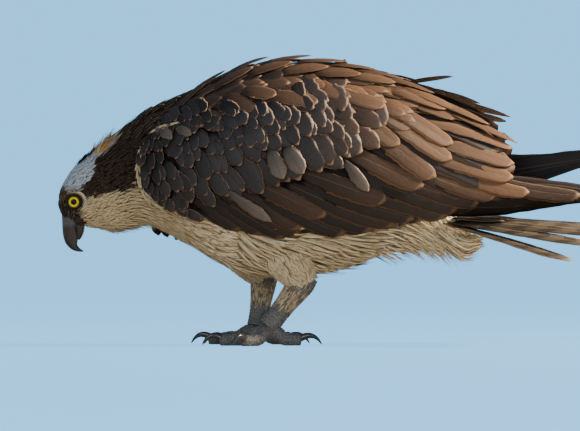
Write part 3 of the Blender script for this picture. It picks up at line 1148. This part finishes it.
# Leg feathers: loose pale feathers clothe each thigh, and short speckled ones run on down the upper tarsus,
# all rooted in rows from the top down.
LEG_FEATHERS = [
    {"name": "thigh_feathers", "count": 700, "roots": (-0.2, 0.9), "share": 1.0, "reach": (0.35, 0.6),
     "drift": 6, "furthest": 1.12, "pale": WHITE * 0.95, "speck": np.array([0.34, 0.27, 0.18]),
     "mottled": (-0.2, 0.9), "most": 0.4, "home": (0.25, 1.3), "width": 6.5, "rise": (-1.8, -0.5, 0.8),
     "grid": (7, 3), "camber": 0.1, "seed": 82},
    {"name": "tarsus_feathers", "count": 420, "roots": (-0.12, 1), "share": 0.5, "reach": (0.13, 0.24),
     "drift": 5, "furthest": 1.0, "pale": WHITE * 0.8, "speck": np.array([0.17, 0.135, 0.10]),
     "mottled": (-0.4, 0.8), "most": 1.0, "home": (0.1, 0.96 / 0.9), "width": 3.4, "rise": (-0.6, 0.1, 0.7),
     "grid": (5, 3), "camber": 0.12, "seed": 83},
]
for side, leg in LEGS.items():
    chance = np.random.default_rng(80 + leg["side"])
    limbs = (limb_surface(THIGH, sided(leg["hip"], leg), sided(leg["hock"], leg)),
             limb_surface(TARSUS, sided(leg["hock"], leg), sided(leg["ankle"], leg)))
    for surface, row in zip(limbs, LEG_FEATHERS):
        count = row["count"]
        along = chance.uniform(*row["roots"], count) * row["share"]
        root = np.stack([along, chance.uniform(0, 360, count)], -1)
        root = root[np.argsort(root[:, 0])]
        reach = chance.uniform(*row["reach"], count)
        tip = root + np.stack([reach, chance.normal(0, row["drift"], count)], -1)
        tip[:, 0] = np.minimum(tip[:, 0], row["furthest"])
        mottle = soft(chance.uniform(-1, 1, count), *row["mottled"])
        shade = mix(row["pale"], row["speck"], mottle * row["most"])
        offset, long = row["home"]
        coat = feathers(f"{row['name']}_{side}", surface, root, tip, row["width"], row["rise"], shade,
                        soft_finish, outline="lance", grid=row["grid"], thick=0.25, camber=row["camber"],
                        fringe=0.1, seed=row["seed"], home=home_of((root[:, 0] + offset) / long, root[:, 1]))

# Scaled legs and feet: bare grey skin in small raised scales with dark seams, each tarsus one tube and each
# foot its toes in one piece, with four long horn claws set into the toes' ends.
SEAM = {"from": 0.02, "to": 0.16, "dark": (0.06, 0.062, 0.065, 1), "pale": (0.17, 0.18, 0.19, 1)}
scale_finish, tree, shader = material("scaled_skin")
place = add(tree, "TexCoord").outputs["Object"]
cells = add(tree, "TexVoronoi", feature="DISTANCE_TO_EDGE", Scale=400, Vector=place).outputs["Distance"]
stain = add(tree, "TexNoise", Scale=70, Detail=5, Vector=place).outputs["Fac"]


def ramp(tree, value, dark, pale):
    """A colour that runs from dark to pale as the value rises."""
    node = add(tree, "ValToRGB", Fac=value)
    for element, tone in zip(node.color_ramp.elements, (dark, pale)):
        element.color = tone
    return node


seam = ramp(tree, cells, SEAM["dark"], SEAM["pale"])
seam.color_ramp.elements[0].position = SEAM["from"]
seam.color_ramp.elements[1].position = SEAM["to"]
blend_skin = add(tree, "Mix", data_type="RGBA", blend_type="MULTIPLY", Factor=0.55, A=seam.outputs["Color"],
                 B=stain).outputs["Result"]
pad = add(tree, "Bump", Strength=0.9, Distance=0.0009, Height=cells).outputs["Normal"]
put(tree, shader, Base_Color=blend_skin, Normal=pad, Roughness=0.62)
horn_finish, tree, shader = material("black_horn")
growth = add(tree, "TexNoise", Scale=260, Detail=3, Vector=add(tree, "TexCoord").outputs["Object"])
horn = ramp(tree, growth.outputs["Fac"], (0.010, 0.011, 0.013, 1), (0.045, 0.047, 0.055, 1))
put(tree, shader, Base_Color=horn.outputs["Color"], Roughness=0.24)


def scaled_tube(bm, rows, across, sides, steps, relief, pitch):
    """A tube along (x, y, z, w, h) rows whose skin is raised in staggered scales."""
    rows = np.array(rows, float)
    rings = []
    at = np.linspace(0, len(rows) - 1, steps)
    smooth = row_at(rows, at)
    line = unit(np.gradient(smooth[:, :3], axis=0))
    run = np.concatenate([[0], np.cumsum(np.linalg.norm(np.diff(smooth[:, :3], axis=0), axis=1))])
    turn = 2 * math.pi * np.arange(sides) / sides
    for i, row in enumerate(smooth):
        side = unit(across - line[i] * np.dot(across, line[i]))
        up = np.cross(line[i], side)
        lap = run[i] / pitch
        shift = 0.5 * (int(lap) % 2)
        number = max(6, round(2 * math.pi * row[3] / pitch))
        hump = 1 - (2 * (lap % 1) - 1) ** 2
        cell = np.abs(np.sin((turn / (2 * math.pi) * number + shift) * math.pi))
        raise_by = relief * np.sqrt(hump * cell)
        taper = 1.0 if 0 < i < steps - 1 else 0.55
        out = side * np.cos(turn)[:, None] * (row[3] * taper) + up * np.sin(turn)[:, None] * (row[4] * taper)
        rings.append(row[:3] + out + unit(out) * raise_by[:, None])
    loft(bm, [metres(r) for r in rings])


TOES = {
    "inner": {"angle": -24, "length": 38, "thick": 6.4, "talon": 27},
    "middle": {"angle": 6, "length": 48, "thick": 6.2, "talon": 26},
    "outer": {"angle": 52, "length": 41, "thick": 5.8, "talon": 24},
    "hind": {"angle": 184, "length": 30, "thick": 6.4, "talon": 28},
}
TOE_FLAT = 1.1
CLAW = {"steps": 16, "turn": 1.25, "reach": 0.86, "from": 6.6, "to": 1.1, "arch": 5.4, "thick": 3.4,
        "tip": 0.3}
for side, leg in LEGS.items():
    hock, ankle = np.array(sided(leg["hock"], leg)), np.array(sided(leg["ankle"], leg))
    bm = bmesh.new()
    rows = [[*(hock + (ankle - hock) * t), w, h] for t, w, h in TARSUS]
    scaled_tube(bm, rows, np.array([0, 1.0, 0]), 96, 110, 0.7, 3.4)
    shank = object_from(bm, f"scaled_tarsus_{side}", scale_finish)
    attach(shank, "root")
    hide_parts(f"tarsus_{side}")
    bm = bmesh.new()
    base = np.array([ankle[0], ankle[1], 0])
    talon_rows = {}
    for name, toe in TOES.items():
        turn = math.radians(toe["angle"])
        ahead = np.array([-math.cos(turn), leg["side"] * math.sin(turn), 0])
        sidewise = np.array([-ahead[1], ahead[0], 0])
        thick = toe["thick"]
        low = thick - TOE_FLAT
        rows = []
        for t, z, r in ((0, 14, 8.5), (0.22, 12, thick + 1.2), (0.42, low + 2.4, thick),
                        (0.6, low + 1.2, thick + 0.5), (0.8, low + 0.4, thick - 0.4),
                        (0.95, low, thick), (1.05, low - 0.4, thick * 0.6)):
            rows.append([*(base + ahead * t * toe["length"] + [0, 0, z]), r, r])
        scaled_tube(bm, rows, sidewise, 56, 64, 0.6, 4.2)
        claws = []
        for t in np.linspace(0, 1, CLAW["steps"]):
            reach = toe["length"] * 0.97 + toe["talon"] * math.sin(t * CLAW["turn"]) * CLAW["reach"]
            arch = CLAW["arch"] * math.sin(math.pi * min(1, t * 1.05)) * (1 - 0.3 * t)
            rise = CLAW["from"] + (CLAW["to"] - CLAW["from"]) * t**1.6 + arch
            r = CLAW["thick"] * (1 - t**1.3) + CLAW["tip"]
            claws.append([*(base + ahead * reach + [0, 0, rise]), r * 0.86, r])
        talon_rows[name] = (claws, sidewise)
    for vert in bm.verts:
        vert.co.z = max(vert.co.z, 0.00002)
    foot = object_from(bm, f"scaled_foot_{side}", scale_finish)
    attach(foot, "root")
    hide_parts(f"foot_{side}")
    for name, (claws, sidewise) in talon_rows.items():
        bm = bmesh.new()
        scaled_tube(bm, claws, sidewise, 24, 34, 0.0, 4.0)
        talon = object_from(bm, f"claw_{name}_{side}", horn_finish)
        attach(talon, "root")
        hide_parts(f"talon_{name}_{side}")


# Bill: black horn hooked down past the lower bill, under a blue-grey cere with a slit nostril, fixed in the
# front of the face. Its halves are rows of x, z, half width and half depth.
UPPER = [[-194.6, 136.5, 9.0, 7.0], [-196, 131.5, 10.9, 9.4], [-196.6, 127, 10.6, 9.6],
         [-197.8, 118, 8.2, 7.9], [-197.3, 110, 6.2, 7.6],
         [-196.2, 103.4, 4.8, 6.4], [-193.6, 98.2, 3.2, 3.9], [-189.2, 95.2, 1.8, 2],
         [-184.6, 93.8, 0.5, 0.6]]
LOWER = [[-189.6, 130.5, 10.4, 6.2], [-188.8, 124, 8.8, 6], [-188.8, 115, 6.2, 5.2], [-189.6, 109.5, 4, 4],
         [-190.4, 105.4, 2, 2.2]]
NOSTRIL = {"x": -199.5, "y": 8.0, "z": 121.8, "reach": (1.1, 3.0, 2.4), "deep": 1.6}
CERE = {"z": 119.0, "fade": 2.5, "step": 0.5, "swell": 0.35}
BILL_GRID = {"rows": 60, "sides": 48, "narrow": 0.22, "pit": 1.4}
bill_finish, tree, shader = material("bill_horn")
place = add(tree, "TexCoord").outputs["Object"]
height = add(tree, "SeparateXYZ", Vector=place).outputs["Z"]
waxed = add(tree, "MapRange", From_Min=(CERE["z"] - CERE["fade"] + SHIFT[2]) * MM,
            From_Max=(CERE["z"] + CERE["fade"] + SHIFT[2]) * MM, Value=height).outputs["Result"]
mottle = add(tree, "TexNoise", Scale=320, Detail=5, Vector=place).outputs["Fac"]
horn = ramp(tree, mottle, (0.006, 0.006, 0.007, 1), (0.026, 0.026, 0.029, 1)).outputs["Color"]
wax = ramp(tree, mottle, (0.022, 0.027, 0.034, 1), (0.085, 0.10, 0.12, 1)).outputs["Color"]
pick = add(tree, "Mix", data_type="RGBA", Factor=waxed, A=horn, B=wax).outputs["Result"]
put(tree, shader, Base_Color=pick, Roughness=0.3)
turn = 2 * math.pi * np.arange(BILL_GRID["sides"]) / BILL_GRID["sides"]
side = np.array([0, 1.0, 0])
for name, rows in (("upper", UPPER), ("lower", LOWER)):
    rows = np.array([[x, 0, z, w, h] for x, z, w, h in rows], float)
    fine = row_at(rows, np.linspace(0, len(rows) - 1, BILL_GRID["rows"]))
    line = unit(np.gradient(fine[:, :3], axis=0))
    rings = []
    for row, along in zip(fine, line):
        up = np.cross(along, side)
        # the ridge is narrower than the cutting edges
        ridge = np.clip(np.sin(turn) * (1 if up[0] < 0 else -1), 0, 1)
        narrow = 1 - BILL_GRID["narrow"] * ridge**2
        ring = row[:3] + side * (np.cos(turn) * row[3] * narrow)[:, None]
        ring += up * (np.sin(turn) * row[4])[:, None]
        if name == "upper":
            gap = (np.abs(ring) - np.abs([NOSTRIL["x"], NOSTRIL["y"], NOSTRIL["z"]])) / NOSTRIL["reach"]
            pit = np.exp(-np.sum(gap**2, -1) * BILL_GRID["pit"])
            ring[:, 1] -= np.sign(ring[:, 1]) * NOSTRIL["deep"] * pit
            swell = CERE["swell"] * soft(ring[:, 2], CERE["z"] - CERE["step"], CERE["z"] + CERE["step"])
            ring[:, 1] += np.sign(ring[:, 1]) * swell
        rings.append(metres(ring))
    bm = bmesh.new()
    loft(bm, rings)
    bill = object_from(bm, f"horn_bill_{name}", bill_finish)
    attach(bill, "root")
    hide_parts(f"bill_{name}")


# Eyes: each is a glass ball with a yellow iris painted round a black pupil, set in the head, in a ring of
# bare black lid.
IRIS = {"edge": 5.4, "bulge": 0.9}
IRIS_STOPS = [(0.0, (0.002, 0.002, 0.002)), (0.335, (0.002, 0.002, 0.002)), (0.375, (0.30, 0.22, 0.01)),
              (0.48, (0.72, 0.62, 0.02)), (0.62, (0.66, 0.56, 0.02)), (0.69, (0.28, 0.22, 0.02)),
              (0.73, (0.004, 0.004, 0.004))]
LID = {"thick": 1.25, "radius": 6.7, "out": 3.9, "up": 0.2, "shape": [1.06, 1, 0.94]}
for name, sign in (("left", -1), ("right", 1)):
    centre = np.array([EYE["x"], sign * EYE["y"], EYE["z"]])
    bm = bmesh.new()
    bmesh.ops.create_uvsphere(bm, u_segments=64, v_segments=40, radius=1.0)
    bmesh.ops.rotate(bm, verts=bm.verts, cent=(0, 0, 0), matrix=Matrix.Rotation(math.pi / 2, 3, "X"))
    for vert in bm.verts:
        flat = math.hypot(vert.co.x, vert.co.z) * EYE["r"]
        dome = IRIS["bulge"] * max(0.0, 1 - (flat / IRIS["edge"]) ** 2) if vert.co.y * sign > 0 else 0
        vert.co = Vector(vert.co) * (EYE["r"] + dome)
        vert.co = Vector(metres(np.array(vert.co) + centre))
    make_smooth(bm)
    iris_finish, tree, shader = material(f"iris_{name}")
    place = add(tree, "TexCoord").outputs["Object"]
    middle = add(tree, "Mapping", Vector=place, Location=tuple(-metres(centre))).outputs["Vector"]
    flatten = add(tree, "VectorMath", operation="MULTIPLY")
    flatten.inputs[1].default_value = (1, 0, 1)
    tree.links.new(middle, flatten.inputs[0])
    radius = add(tree, "VectorMath", operation="LENGTH", Vector=flatten.outputs["Vector"]).outputs["Value"]
    scale = add(tree, "Math", operation="MULTIPLY", Value=radius)
    scale.inputs[1].default_value = 1 / (EYE["r"] * MM)
    ring = add(tree, "ValToRGB", Fac=scale.outputs["Value"])
    while len(ring.color_ramp.elements) < len(IRIS_STOPS):
        ring.color_ramp.elements.new(0.5)
    for element, (where, colour) in zip(ring.color_ramp.elements, IRIS_STOPS):
        element.position = where
        element.color = (*colour, 1)
    put(tree, shader, Base_Color=ring.outputs["Color"], Roughness=0.12, Specular_IOR_Level=0.15)
    eye = object_from(bm, f"glass_eye_{name}", iris_finish)
    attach(eye, "root")
    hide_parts(f"eye_{name}")
    bm = bmesh.new()
    lid = bmesh.ops.create_circle(bm, cap_ends=False, segments=14, radius=LID["thick"])
    bmesh.ops.scale(bm, verts=lid["verts"], vec=(1.0, 1.25, 1.0))
    bmesh.ops.translate(bm, verts=lid["verts"], vec=(LID["radius"], 0, 0))
    bmesh.ops.spin(bm, geom=bm.verts[:] + bm.edges[:], cent=(0, 0, 0), axis=(0, 1, 0), angle=2 * math.pi,
                   steps=56, use_merge=True)
    bmesh.ops.recalc_face_normals(bm, faces=bm.faces)
    for vert in bm.verts:
        shifted = np.array(vert.co) * LID["shape"] + centre + [0, sign * LID["out"], LID["up"]]
        vert.co = Vector(metres(shifted))
    make_smooth(bm)
    lid_finish, tree, shader = material(f"lid_skin_{name}")
    grain = add(tree, "TexNoise", Scale=900, Vector=add(tree, "TexCoord").outputs["Object"]).outputs["Fac"]
    tone = ramp(tree, grain, (0.003, 0.003, 0.004, 1), (0.012, 0.012, 0.013, 1)).outputs["Color"]
    put(tree, shader, Base_Color=tone, Roughness=0.5, Specular_IOR_Level=0.2)
    rim = object_from(bm, f"eyelid_{name}", lid_finish)
    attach(rim, "root")
